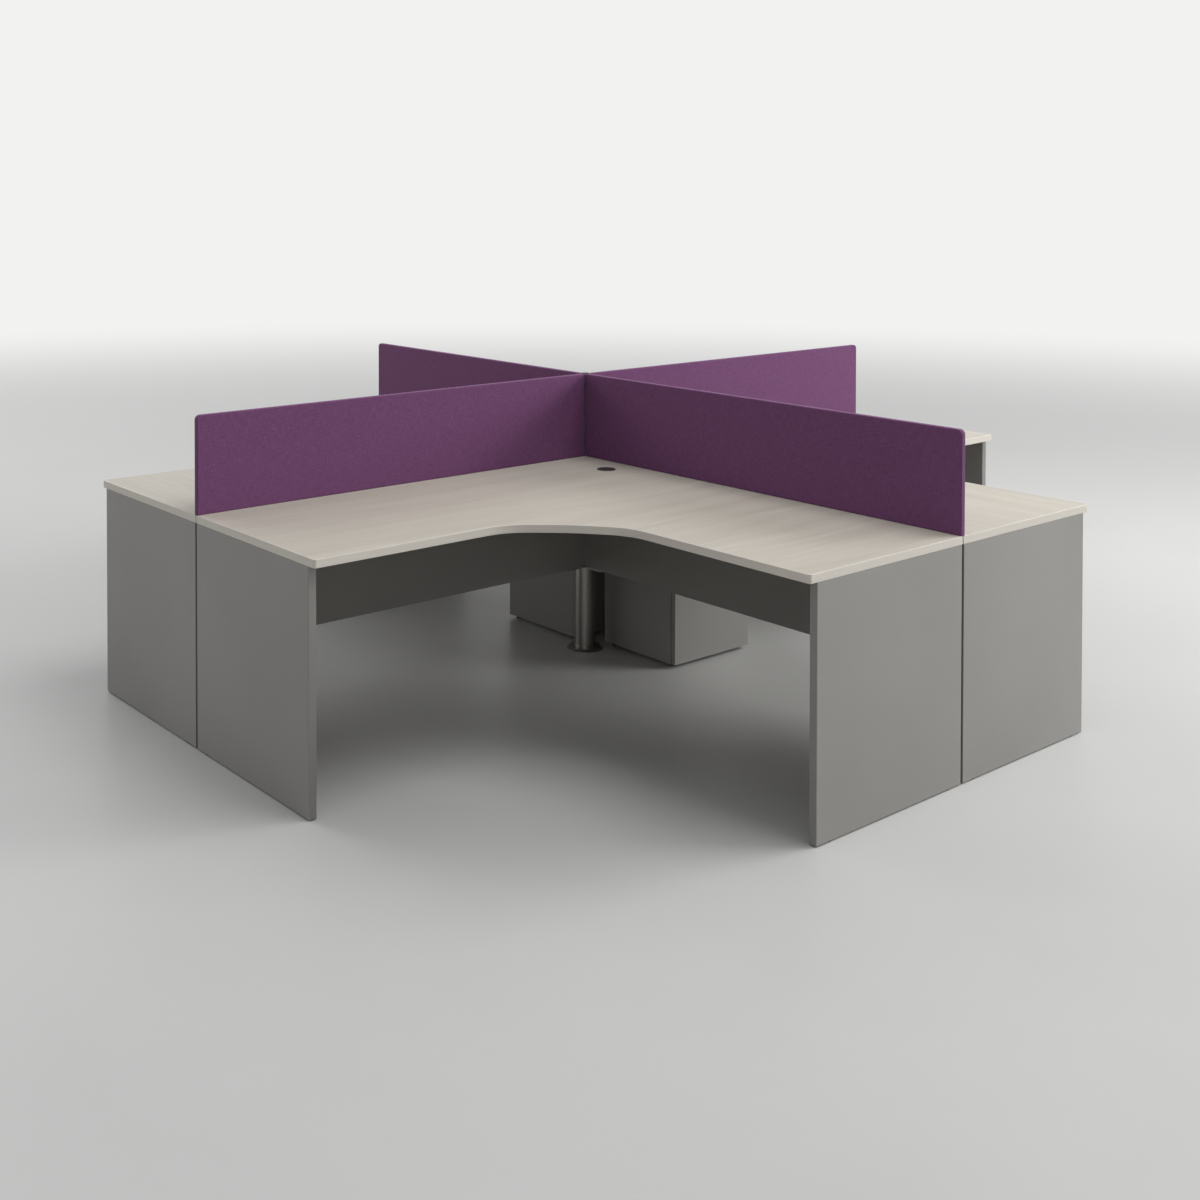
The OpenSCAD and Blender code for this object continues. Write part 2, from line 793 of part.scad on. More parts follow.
// Drawer front with a hollow behind its top edge
module drawer_front(turn, bottom, height, locked = false) {
    color(board_grey) rotate(turn) difference() {
        translate([box_front, carcass_right - front_side_gap, bottom]) rotate([90, 0, 0])
            linear_extrude(pedestal_width - 2 * front_side_gap) polygon([
                [0, 0], [pedestal_board, 0], [pedestal_board, height],
                [pedestal_board - grip_lip, height], [0, height - grip_height]
            ]);
        if (locked) translate([box_front - 1, lock_y, lock_z]) rotate([0, 90, 0])
            cylinder(h = pedestal_board + 2, r = lock_radius + lock_clearance, $fn = ROUND);
    }
}

module drawer_box(turn, front_bottom, front_height) {
    bottom = front_bottom + box_lift;
    height = front_height - box_lift - rim_drop;
    length = box_front - box_back;
    color(box_grey) rotate(turn) {
        difference() {
            translate([box_back, box_left, bottom]) cube([length, box_width, height]);
            translate([box_back + box_wall, box_left + box_wall, bottom + box_bottom])
                cube([length - 2 * box_wall, box_width - 2 * box_wall, height]);
        }
        along_travel(runner_start, runner_length) both_sides() inner_rail(bottom);
        along_travel(inner_stop_start, stop_thickness) both_sides() inner_stop(bottom);
    }
}

// Lock barrel with its key slot, and the cam that turns up into the top board
module pedestal_lock(turn) {
    key_slot = [2, 9, 4];
    length = lock_reach + pedestal_board + 1;
    color(silver) rotate(turn) translate([box_front - lock_reach, lock_y, lock_z]) {
        difference() {
            rotate([0, 90, 0]) cylinder(h = length, r = lock_radius, $fn = ROUND);
            translate([length - key_slot.z, -key_slot.y / 2, -key_slot.x / 2])
                cube([key_slot.z + 1, key_slot.y, key_slot.x]);
        }
        translate([-cam_thickness, -cam_length, -cam_width / 2])
            cube([cam_thickness, cam_length + cam_width / 2, cam_width]);
    }
}

worktop(turn_a);  // desk_a_top
worktop(turn_b);  // desk_b_top
worktop(turn_c);  // desk_c_top
worktop(turn_d);  // desk_d_top
worktop_edging();
end_panel(turn_a);  // desk_a_end_panel_left
end_panel(turn_a, right = true);  // desk_a_end_panel_right
end_panel(turn_b);  // desk_b_end_panel_left
end_panel(turn_b, right = true);  // desk_b_end_panel_right
end_panel(turn_c);  // desk_c_end_panel_left
end_panel(turn_c, right = true);  // desk_c_end_panel_right
end_panel(turn_d);  // desk_d_end_panel_left
end_panel(turn_d, right = true);  // desk_d_end_panel_right
end_panel_edging();
modesty_panels(turn_a);  // desk_a_modesty_panels
modesty_panels(turn_b);  // desk_b_modesty_panels
modesty_panels(turn_c);  // desk_c_modesty_panels
modesty_panels(turn_d);  // desk_d_modesty_panels
screen(turn_b);  // screen_ab
screen(turn_c);  // screen_bc
screen(turn_d, short_screen_setback);  // screen_cd
screen(turn_a);  // screen_da
screen_joiner();
screen_joiner_cap();
screen_bracket_plates();
joining_bolts();
middle_leg_tube();
middle_leg_head();
middle_leg_foot();
tie_bolt();
grommet_sleeves();
grommet_cap(turn_a);  // grommet_cap_a
grommet_cap(turn_b);  // grommet_cap_b
grommet_cap(turn_c);  // grommet_cap_c
grommet_cap(turn_d);  // grommet_cap_d
angle_brackets();
wood_screws();
levelling_glides();
pedestal_carcass(turn_b);  // pedestal_b_carcass
pedestal_back(turn_b);  // pedestal_b_back
pedestal_runners(turn_b);  // pedestal_b_runners
drawer_front(turn_b, top_front_bottom, small_front_height, locked = true);  // pedestal_b_front_top
drawer_front(turn_b, middle_front_bottom, small_front_height);  // pedestal_b_front_middle
drawer_front(turn_b, fronts_bottom, file_front_height);  // pedestal_b_front_file
drawer_box(turn_b, top_front_bottom, small_front_height);  // pedestal_b_box_top
drawer_box(turn_b, middle_front_bottom, small_front_height);  // pedestal_b_box_middle
drawer_box(turn_b, fronts_bottom, file_front_height);  // pedestal_b_box_file
pedestal_lock(turn_b);  // pedestal_b_lock
pedestal_carcass(turn_c);  // pedestal_c_carcass
pedestal_back(turn_c);  // pedestal_c_back
pedestal_runners(turn_c);  // pedestal_c_runners
drawer_front(turn_c, top_front_bottom, small_front_height, locked = true);  // pedestal_c_front_top
drawer_front(turn_c, middle_front_bottom, small_front_height);  // pedestal_c_front_middle
drawer_front(turn_c, fronts_bottom, file_front_height);  // pedestal_c_front_file
drawer_box(turn_c, top_front_bottom, small_front_height);  // pedestal_c_box_top
drawer_box(turn_c, middle_front_bottom, small_front_height);  // pedestal_c_box_middle
drawer_box(turn_c, fronts_bottom, file_front_height);  // pedestal_c_box_file
pedestal_lock(turn_c);  // pedestal_c_lock
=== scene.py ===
import math

import bmesh
import bpy
from bpy.props import FloatProperty, FloatVectorProperty, PointerProperty
from mathutils import Matrix, Vector


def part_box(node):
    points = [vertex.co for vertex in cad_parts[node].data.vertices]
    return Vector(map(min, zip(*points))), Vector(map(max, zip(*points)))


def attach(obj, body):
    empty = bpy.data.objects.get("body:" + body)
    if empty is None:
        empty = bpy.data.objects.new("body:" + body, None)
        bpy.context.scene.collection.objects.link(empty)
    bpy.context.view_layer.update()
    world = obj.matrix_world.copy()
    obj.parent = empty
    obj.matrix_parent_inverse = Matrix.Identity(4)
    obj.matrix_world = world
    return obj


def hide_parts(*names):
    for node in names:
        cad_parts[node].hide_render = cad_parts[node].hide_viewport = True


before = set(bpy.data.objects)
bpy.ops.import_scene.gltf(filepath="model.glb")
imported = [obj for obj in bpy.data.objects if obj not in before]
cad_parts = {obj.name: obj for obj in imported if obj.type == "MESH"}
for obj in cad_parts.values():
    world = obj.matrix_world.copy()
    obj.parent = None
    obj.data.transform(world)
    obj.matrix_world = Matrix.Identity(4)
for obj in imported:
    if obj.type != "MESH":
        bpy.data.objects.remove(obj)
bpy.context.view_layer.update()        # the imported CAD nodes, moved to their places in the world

bl_info = {
    "name": "Four-Person Workstation",
    "version": (1, 0),
    "blender": (4, 5, 0),
    "location": "3D View > Sidebar > Workstation",
    "description": "Boards, screens, fittings and drawer pedestals of a four-person workstation",
    "category": "Add Mesh",
}

# Places in the desk whose wings run along +X and +Y, in metres
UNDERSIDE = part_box("desk_c_top")[0].z
DESK_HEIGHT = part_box("desk_c_top")[1].z
PANEL_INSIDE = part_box("desk_c_end_panel_left")[0].x
MODESTY_LOW, MODESTY_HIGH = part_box("desk_c_modesty_panels")
MODESTY_THICKNESS = 0.018
WALL_INSIDE = MODESTY_LOW.y + MODESTY_THICKNESS
BUTT_GAP = 0.0002

# Angle brackets: their size, and where they sit on a left wing
BRACKET_SIZE = 0.028
BRACKET_THICKNESS = 0.0025
MODESTY_BRACKETS = (0.650, 1.210)
PANEL_BRACKETS = (0.185, 0.550)
SIDE_BRACKET_HEIGHT = 0.380
SCREW_INSET = 0.6 * BRACKET_SIZE

# Joining bolts, along +Y through the left wings' modesty panels
BOLT_PLACES = (0.560, 1.300)
BOLT_HEIGHT = 0.685
BOLT_RADIUS = 0.004
BOLT_HEAD_RADIUS = 0.009
BOLT_HEAD = 0.003

# The back desk's pedestal
CARCASS_LOW, CARCASS_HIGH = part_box("pedestal_c_carcass")
PEDESTAL_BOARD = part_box("pedestal_c_back")[1].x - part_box("pedestal_c_back")[0].x
FRONT_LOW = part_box("pedestal_c_front_top")[0]
FRONT_GAP = 0.002
RUNNER_WIDTH = 0.013
RUNNER_WALL = 0.0015
RUNNING_GAP = 0.0003
BOX_WALL = 0.012
BOX_BOTTOM = 0.005
PEDESTAL_ARRIS = 0.0006

# The quarter turn that puts that desk, its screen or its pedestal into each place
TURNS = {"a": 180, "b": 270, "c": 0, "d": 90}
PEDESTALS = ("b", "c")
DRAWERS = ("top", "middle", "file")
SCREENS = {"screen_ab": "b", "screen_bc": "c", "screen_cd": "d", "screen_da": "a"}
ACROSS_DIAGONAL = Matrix(((0, 1, 0, 0), (1, 0, 0, 0), (0, 0, 1, 0), (0, 0, 0, 1)))

# Faces that meet at a smaller angle than this are shaded as one
SHARP_ANGLE = math.radians(35)

# Soft lights, with their places and sizes in metres and their power in watts. The key light hangs
# over the front, two more stand at the right of the camera, and the fill comes from behind.
SOFTBOXES = (
    ("key", (1.0, -3.0, 8.0), 4.5, 300),
    ("side", (8.0, -7.8, 4.0), 3.6, 440),
    ("window", (4.8, -3.2, 4.2), 2.0, 150),
    ("fill", (-2.4, 6.2, 5.0), 5.0, 200),
)
AMBIENT_STRENGTH = 0.42
FLOOR_RADIUS = 60


def linear(code):
    """The linear colour of an sRGB hex code"""
    parts = [int(code[i:i + 2], 16) / 255 for i in (1, 3, 5)]
    return tuple(c / 12.92 if c <= 0.04045 else ((c + 0.055) / 1.055) ** 2.4 for c in parts)


# Settings

def size_setting(label, default, low, high, description):
    return FloatProperty(
        name=label, description=description, default=default, min=low, max=high, unit="LENGTH")


def colour_setting(label, code, description):
    return FloatVectorProperty(
        name=label, description=description, default=linear(code), subtype="COLOR", min=0, max=1)


class WorkstationSizes(bpy.types.PropertyGroup):
    """Sizes of the details that finish the frame"""
    arris: size_setting(
        "Arris", 0.0012, 0.0004, 0.0018, "Radius of the rounded outer edges of the plastic edging")
    screen_edge: size_setting(
        "Screen Edge", 0.004, 0.001, 0.008, "Radius of the padded edges of a screen")
    screen_corner: size_setting(
        "Screen Corner", 0.016, 0.006, 0.060, "Radius of a screen's free upper corner")
    thread_spacing: size_setting(
        "Thread Spacing", 0.0024, 0.0005, 0.004, "Distance between neighbouring threads of the cloth")
    band: size_setting(
        "Pedestal Band", 0.001, 0.0005, 0.002, "Thickness of the edging on the pedestals' boards")


class WorkstationColours(bpy.types.PropertyGroup):
    """Colours of the boards, the cloth and the stage"""
    wood: colour_setting("Wood", "#bbb5aa", "Ground colour of the wood pattern on the worktops")
    wood_grain: colour_setting("Wood Grain", "#a79f92", "Colour of the grain lines on the worktops")
    edge: colour_setting("Edge", "#cfc9be", "Colour of the plastic edging round the worktops")
    board: colour_setting("Board", "#8d8b87", "Grey of the end panels, modesty panels and pedestals")
    cloth: colour_setting("Cloth", "#70456d", "Purple of the screens")
    floor: colour_setting("Floor", "#c0c0be", "Colour of the stage's floor")
    backdrop: colour_setting("Backdrop", "#f2f2f1", "Colour behind the workstation")


# Materials

def add(tree, kind, settings=None, inputs=None):
    """Adds a node with its settings, and with a value or a link on each named input"""
    node = tree.nodes.new(kind)
    for name, value in (settings or {}).items():
        setattr(node, name, value)
    for name, value in (inputs or {}).items():
        if isinstance(value, bpy.types.NodeSocket):
            tree.links.new(value, node.inputs[name])
        else:
            node.inputs[name].default_value = value
    return node


def start_material(name, constants):
    """An empty material with a Principled shader: returns it, its tree, the shader and its coordinates"""
    material = bpy.data.materials.new(name)
    material.use_nodes = True
    tree = material.node_tree
    tree.nodes.clear()
    shader = add(tree, "ShaderNodeBsdfPrincipled", inputs=constants)
    add(tree, "ShaderNodeOutputMaterial", inputs={"Surface": shader.outputs[0]})
    place = add(tree, "ShaderNodeTexCoord").outputs["Object"]
    return material, tree, shader, place


def connect(tree, shader, *links):
    """Links a colour, a roughness and, if there is one, a bump to the shader"""
    for link, name in zip(links, ("Base Color", "Roughness", "Normal")):
        tree.links.new(link, shader.inputs[name])


def finish(maker, *choices):
    """The material that a maker function makes, made only once"""
    name = "_".join([maker.__name__, *[str(choice) for choice in choices]])
    return bpy.data.materials.get(name) or maker(name, *choices)


def opaque(colour):
    return (*colour, 1.0)


def shade(colour, amount):
    """A colour made darker or lighter by a factor"""
    return tuple(min(c * amount, 1.0) for c in colour)


def stretched(tree, place, *scale):
    """Coordinates multiplied by a factor on each axis"""
    return add(tree, "ShaderNodeMapping", inputs={"Vector": place, "Scale": scale}).outputs[0]


def noise(tree, place, scale=1.0, detail=2.0, roughness=0.5, dimensions="3D"):
    """Cloudy noise with a number of clouds per unit of its coordinates"""
    return add(tree, "ShaderNodeTexNoise", {"noise_dimensions": dimensions}, {
        "Vector": place, "Scale": scale, "Detail": detail, "Roughness": roughness}).outputs[0]


def ranged(tree, value, from_min=0.0, from_max=1.0, to_min=0.0, to_max=1.0):
    """A value carried from one range into another, which it doesn't leave"""
    return add(tree, "ShaderNodeMapRange", inputs={
        "Value": value, "From Min": from_min, "From Max": from_max,
        "To Min": to_min, "To Max": to_max}).outputs[0]


def mix_values(tree, amount, first, second):
    return add(tree, "ShaderNodeMix", {"data_type": "FLOAT"}, {
        0: amount, 2: first, 3: second}).outputs[0]


def mix_colours(tree, amount, first, second, blend="MIX"):
    """A mix of two colours, each given as three numbers or as a link"""
    first, second = [c if isinstance(c, bpy.types.NodeSocket) else opaque(c) for c in (first, second)]
    return add(tree, "ShaderNodeMix", {"data_type": "RGBA", "blend_type": blend}, {
        0: amount, 6: first, 7: second}).outputs[2]


def bump(tree, height, strength, distance, invert=False, below=None):
    """A bump with its depth in metres, which may lie on another bump"""
    inputs = {"Strength": strength, "Distance": distance, "Height": height}
    if below:
        inputs["Normal"] = below
    return add(tree, "ShaderNodeBump", {"invert": invert}, inputs).outputs[0]


def wood_melamine(name, grain_turn):
    """Melamine-faced board printed as pale wood and pressed on a matt plate: long soft figure, fine
    grain lines with short dark pores, and a dull even gloss"""
    colours = bpy.context.scene.workstation_colours
    material, tree, shader, place = start_material(name, {"IOR": 1.5, "Specular IOR Level": 0.4})
    along = add(tree, "ShaderNodeMapping", inputs={
        "Vector": place, "Rotation": (0, 0, math.radians(grain_turn))}).outputs[0]
    # The grain wanders sideways by up to 20 mm over half a metre
    drift = noise(tree, along, 2.2, 1.0).node.outputs["Color"]
    wandering = add(tree, "ShaderNodeVectorMath", {"operation": "MULTIPLY_ADD"}, {
        0: drift, 1: (0.0, 0.05, 0.0), 2: along}).outputs[0]
    # Figure bands 60 mm wide and 0.8 m long
    figure = noise(tree, stretched(tree, wandering, 1.2, 16.0, 16.0), 1.0, 3.0, 0.55)
    banded = mix_colours(
        tree, ranged(tree, figure, 0.36, 0.7, 0.0, 0.5), colours.wood, colours.wood_grain)
    # Grain lines: real ones are 1 mm apart, and these are 5 mm apart so that they show
    lines = noise(tree, stretched(tree, wandering, 4.0, 190.0, 190.0), 1.0, 4.0, 0.7)
    lined = mix_colours(
        tree, ranged(tree, lines, 0.42, 0.66, 0.0, 0.36), banded, shade(colours.wood_grain, 0.9))
    # Pores 0.6 mm wide and 15 mm long
    pores = noise(tree, stretched(tree, wandering, 65.0, 1500.0, 1500.0))
    pored = mix_colours(
        tree, ranged(tree, pores, 0.62, 0.75, 0.0, 0.3), lined, shade(colours.wood_grain, 0.55))
    pore_depth = ranged(tree, pores, 0.62, 0.75)
    connect(tree, shader, pored, ranged(tree, lines, 0.0, 1.0, 0.42, 0.56),
            bump(tree, pore_depth, 0.35, 0.0001, invert=True))
    return material


def wood_edge_band(name):
    """ABS edge band in the worktop's palest tone: plainer and smoother than the board, with level streaks
    and faint cutter marks from the machine that trimmed it"""
    colours = bpy.context.scene.workstation_colours
    material, tree, shader, place = start_material(name, {"IOR": 1.52})
    # Streaks 3 mm high that run level along the edge
    streaks = noise(tree, stretched(tree, place, 5.0, 5.0, 330.0), 1.0, 3.0)
    amount = ranged(tree, streaks, 0.3, 0.7, 0.0, 0.8)
    # Cutter marks 1.2 mm apart
    marks = noise(tree, place, 800.0, 1.0)
    connect(tree, shader, mix_colours(tree, amount, colours.edge, shade(colours.edge, 0.9)),
            ranged(tree, marks, 0.0, 1.0, 0.3, 0.46), bump(tree, marks, 0.2, 0.00005))
    return material


def grey_surface(name, tint, rough_low, rough_high, grain):
    """Shared make-up of the grey board, its edging and the drawers' lining: a tint that drifts a
    little over the board, a fine pressed grain and light handling marks in the gloss"""
    material, tree, shader, place = start_material(name, {"IOR": 1.5})
    drift = noise(tree, place, 1.6)
    # Speckle of the printed paper, 2 mm across so that it shows close by
    speckle = noise(tree, place, 520.0)
    amount = ranged(tree, mix_values(tree, 0.4, drift, speckle), 0.38, 0.62)
    # Hand marks 80 mm across change the gloss a little
    marks = noise(tree, place, 12.0, 4.0, 0.65)
    pressed = noise(tree, place, 1.0 / grain)
    connect(tree, shader, mix_colours(tree, amount, shade(tint, 0.93), shade(tint, 1.06)),
            ranged(tree, marks, 0.35, 0.65, rough_low, rough_high), bump(tree, pressed, 0.25, 0.0001))
    return material


def grey_melamine(name):
    """Melamine-faced chipboard in plain grey: matt, with the small pearl grain of its press plate"""
    return grey_surface(name, bpy.context.scene.workstation_colours.board, 0.46, 0.5, 0.0012)


def grey_edge_band(name):
    """ABS edge band in the boards' grey: darker and smoother than the board, with a finer grain"""
    tint = shade(bpy.context.scene.workstation_colours.board, 0.83)
    return grey_surface(name, tint, 0.36, 0.4, 0.0008)


def drawer_foil(name):
    """Foil-wrapped drawer board: pale grey paper foil, satin, with a broad faint grain"""
    return grey_surface(name, linear("#adaeae"), 0.39, 0.43, 0.002)


def woven_cloth(name):
    """Crepe-weave polyester cloth over a padded board: crossing threads with painted shade in the gaps
    between them, a mottle of lighter and darker yarn lengths and a soft sheen at the turned edges"""
    colour = bpy.context.scene.workstation_colours.cloth
    threads_per_metre = 1 / bpy.context.scene.workstation_sizes.thread_spacing
    material, tree, shader, place = start_material(name, {
        "Sheen Weight": 0.3, "Sheen Roughness": 0.4, "Sheen Tint": opaque(linear("#d9c2d8")),
        "IOR": 1.45, "Specular IOR Level": 0.25})
    # Real threads are 0.8 mm apart, and these are wider so that the weave shows
    cloth = add(tree, "ShaderNodeUVMap", {"uv_map": "cloth"}).outputs[0]
    warp, weft = [
        add(tree, "ShaderNodeTexWave", {"bands_direction": direction}, {
            "Vector": cloth, "Scale": math.pi / 10 * threads_per_metre}).outputs["Fac"]
        for direction in ("X", "Y")]
    over = add(tree, "ShaderNodeTexChecker", inputs={
        "Vector": cloth, "Scale": threads_per_metre}).outputs["Fac"]
    weave = mix_values(tree, over, warp, weft)
    # Yarn lengths: streaks one thread high and 30 mm long, level and upright
    level, upright = [
        noise(tree, stretched(tree, cloth, *scale, 1.0), 1.0, 1.0, dimensions="2D")
        for scale in ((33.0, threads_per_metre), (threads_per_metre, 33.0))]
    yarn = mix_values(tree, over, level, upright)
    mottled = mix_colours(tree, ranged(tree, yarn, 0.3, 0.7), shade(colour, 0.8), shade(colour, 1.22))
    # The colour falls to 55 % in the gaps between threads: painted shade in the hollows of the weave
    thread_gap_shade = ranged(tree, weave, 0.0, 0.5, 0.55, 1.0)
    # The foam below gives swells 150 mm wide and under half a millimetre deep
    swell = bump(tree, noise(tree, place, 7.0, 1.0), 0.5, 0.0015)
    connect(tree, shader, mix_colours(tree, 1.0, mottled, thread_gap_shade, "MULTIPLY"),
            ranged(tree, yarn, 0.0, 1.0, 0.78, 0.92), bump(tree, weave, 0.6, 0.0003, below=swell))
    return material


def bare_metal(name, dark, light, rough_low, rough_high, stretch):
    """Shared make-up of the bare metals: a tint that varies along the working marks, which a stretch
    per metre on each axis draws as spots or as brushed lines"""
    material, tree, shader, place = start_material(name, {"Metallic": 1.0})
    marks = noise(tree, stretched(tree, place, *stretch), 1.0, 3.0, 0.6)
    connect(tree, shader, mix_colours(tree, ranged(tree, marks, 0.3, 0.7), linear(dark), linear(light)),
            ranged(tree, marks, 0.0, 1.0, rough_low, rough_high), bump(tree, marks, 0.1, 0.00003))
    return material


def zinc_plated_steel(name):
    """Pressed steel with bright zinc plating: cool grey with cloudy spots 3 mm across"""
    return bare_metal(name, "#9b9fa3", "#c6c9cc", 0.28, 0.42, (330.0, 330.0, 330.0))


def anodised_aluminium(name):
    """Extruded aluminium, satin anodised: soft upright drawing lines half a millimetre apart"""
    return bare_metal(name, "#a9abad", "#c3c5c7", 0.3, 0.42, (2000.0, 2000.0, 4.0))


def satin_chrome(name):
    """Chrome-plated steel tube and plates: a mirror made soft by fine lengthwise polishing marks, with a
    tint darker than
    bright chrome: painted shade, for a leg that stands in the gloom under the desks
    """
    # Both tints lie below bright chrome's: painted shade on the leg
    return bare_metal(name, "#8b8986", "#a3a19d", 0.34, 0.44, (1400.0, 1400.0, 12.0))


def polished_nickel(name):
    """Nickel-plated lock barrel: warm bright metal with faint rubbed spots 1 mm across"""
    return bare_metal(name, "#b9b4ab", "#d2cdc4", 0.12, 0.22, (900.0, 900.0, 900.0))


def black_abs(name):
    """Black ABS, moulded with a fine spark-eroded grain: deep grey in the light, never glossy"""
    material, tree, shader, place = start_material(name, {"IOR": 1.53})
    grain = noise(tree, place, 1600.0)
    scuffs = noise(tree, place, 90.0, 3.0, 0.7)
    amount = ranged(tree, scuffs, 0.4, 0.75)
    connect(tree, shader, mix_colours(tree, amount, linear("#202021"), linear("#2e2e30")),
            ranged(tree, scuffs, 0.0, 1.0, 0.38, 0.58), bump(tree, grain, 0.3, 0.00006))
    return material


def pale_floor(name):
    """Sealed pale screed: a faint cloudy tint and a soft broken gloss. Where the camera sees it, it fades
    into the backdrop between 4 and 14 metres from the middle"""
    colours = bpy.context.scene.workstation_colours
    material, tree, shader, place = start_material(name, {"IOR": 1.45, "Specular IOR Level": 0.15})
    clouds = noise(tree, place, 0.9, 5.0, 0.6)
    amount = ranged(tree, clouds, 0.3, 0.7)
    connect(tree, shader, mix_colours(tree, amount, shade(colours.floor, 0.97), shade(colours.floor, 1.02)),
            ranged(tree, clouds, 0.0, 1.0, 0.3, 0.42))
    distance = add(tree, "ShaderNodeVectorMath", {"operation": "LENGTH"}, {0: place}).outputs["Value"]
    fade = add(tree, "ShaderNodeMapRange", {"interpolation_type": "SMOOTHSTEP"}, {
        "Value": distance, "From Min": 4.0, "From Max": 14.0}).outputs[0]
    seen = add(tree, "ShaderNodeLightPath").outputs["Is Camera Ray"]
    faded = add(tree, "ShaderNodeMath", {"operation": "MULTIPLY"}, {0: fade, 1: seen}).outputs[0]
    backdrop = add(tree, "ShaderNodeEmission", inputs={"Color": opaque(colours.backdrop)}).outputs[0]
    mixed = add(tree, "ShaderNodeMixShader", inputs={0: faded, 1: shader.outputs[0], 2: backdrop})
    tree.links.new(mixed.outputs[0], tree.nodes["Material Output"].inputs["Surface"])
    return material


# Shapes

def turned(letter):
    """The turn that puts the drawn quarter into a desk's place"""
    return Matrix.Rotation(math.radians(TURNS[letter]), 4, "Z")


def every_wing():
    """The turns, and mirrored turns, that put a left wing's piece on all eight wings"""
    return [turned(letter) @ wing for letter in TURNS for wing in (Matrix(), ACROSS_DIAGONAL)]


def of_kind(kind, items):
    return [item for item in items if isinstance(item, kind)]


def cuboid(bm, low, high):
    """Adds a cuboid between two corners, and returns its vertices"""
    low, high = Vector(low), Vector(high)
    verts = bmesh.ops.create_cube(bm, size=1)["verts"]
    bmesh.ops.scale(bm, vec=high - low, verts=verts)
    bmesh.ops.translate(bm, vec=(low + high) / 2, verts=verts)
    return verts


def edges_of(verts, test=lambda a, b: True):
    """The edges between some vertices that pass a test of their two ends' places"""
    inside = set(verts)
    edges = {edge for vert in verts for edge in vert.link_edges}
    return [e for e in edges if set(e.verts) <= inside and test(e.verts[0].co, e.verts[1].co)]


def ease(bm, edges, radius, segments=3):
    """Rounds some edges, as a router or a file would"""
    bmesh.ops.bevel(
        bm, geom=edges, offset=radius, offset_type="OFFSET", affect="EDGES",
        segments=segments, profile=0.5, material=-1)


def board(bm, low, high, arris, segments=2):
    """Adds a board whose edges are all eased"""
    ease(bm, edges_of(cuboid(bm, low, high)), arris, segments)


def merged_copy(node):
    """A bmesh of a CAD node with its loose triangles joined into faces"""
    bm = bmesh.new()
    bm.from_mesh(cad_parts[node].data)
    bmesh.ops.remove_doubles(bm, verts=bm.verts, dist=0.000002)
    bmesh.ops.dissolve_limit(bm, angle_limit=math.radians(0.5), verts=bm.verts, edges=bm.edges)
    return bm


def corner_edges(bm, test=lambda middle, edge: True, least_angle=60):
    """The edges between faces that meet at over an angle in degrees, if they pass a test"""
    return [e for e in bm.edges if e.calc_face_angle(0.0) > math.radians(least_angle)
            and test((e.verts[0].co + e.verts[1].co) / 2, e)]


def eased_copy(node, radius, segments, **choice):
    """A bmesh of a CAD node with its corner edges rounded"""
    bm = merged_copy(node)
    ease(bm, corner_edges(bm, **choice), radius, segments)
    return bm


def lathe(bm, profile, steps):
    """Adds a shape turned about Z from a profile of radii and heights"""
    verts = [bm.verts.new((radius, 0, height)) for radius, height in profile]
    edges = [bm.edges.new(pair) for pair in zip(verts, verts[1:])]
    bmesh.ops.spin(
        bm, geom=verts + edges, cent=(0, 0, 0), axis=(0, 0, 1), angle=math.tau, steps=steps, use_merge=True)
    bmesh.ops.remove_doubles(bm, verts=bm.verts, dist=0.000001)
    bmesh.ops.recalc_face_normals(bm, faces=bm.faces)


def extrude_solid(bm, faces, along):
    """Makes a solid of flat faces"""
    made = bmesh.ops.extrude_face_region(bm, geom=faces, use_keep_orig=True)["geom"]
    bmesh.ops.translate(bm, vec=along, verts=of_kind(bmesh.types.BMVert, made))
    bmesh.ops.recalc_face_normals(bm, faces=bm.faces)


def sink(bm, faces, along):
    """Pushes faces of a solid inwards"""
    made = bmesh.ops.extrude_face_region(bm, geom=faces)["geom"]
    bmesh.ops.translate(bm, vec=along, verts=of_kind(bmesh.types.BMVert, made))
    bmesh.ops.delete(bm, geom=faces, context="FACES")


def repeat(bm, matrices):
    """Copies all that a bmesh holds by each matrix, in place of the first"""
    mesh = bpy.data.meshes.new("template")
    bm.to_mesh(mesh)
    bm.clear()
    for matrix in matrices:
        start = len(bm.verts)
        bm.from_mesh(mesh)
        bm.verts.ensure_lookup_table()
        bmesh.ops.transform(bm, matrix=matrix, verts=bm.verts[start:])
    bpy.data.meshes.remove(mesh)
    bmesh.ops.recalc_face_normals(bm, faces=bm.faces)


def new_piece(name, bm, material, body="root", replaces=()):
    """Makes an object of a bmesh, shades it, and lets it ride on a body in place of CAD nodes"""
    for face in bm.faces:
        face.smooth = True
    for edge in bm.edges:
        edge.smooth = edge.calc_face_angle(0.0) < SHARP_ANGLE
    mesh = bpy.data.meshes.new(name)
    bm.to_mesh(mesh)
    bm.free()
    mesh.materials.append(material)
    piece = bpy.data.objects.new(name, mesh)
    bpy.context.scene.collection.objects.link(piece)
    shading = piece.modifiers.new("Even shading", "WEIGHTED_NORMAL")
    shading.keep_sharp = True
    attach(piece, body)
    if replaces:
        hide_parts(*replaces)


def dress(nodes, material):
    """Gives CAD nodes a finish"""
    for node in nodes:
        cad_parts[node].data.materials[0] = material


# Pieces

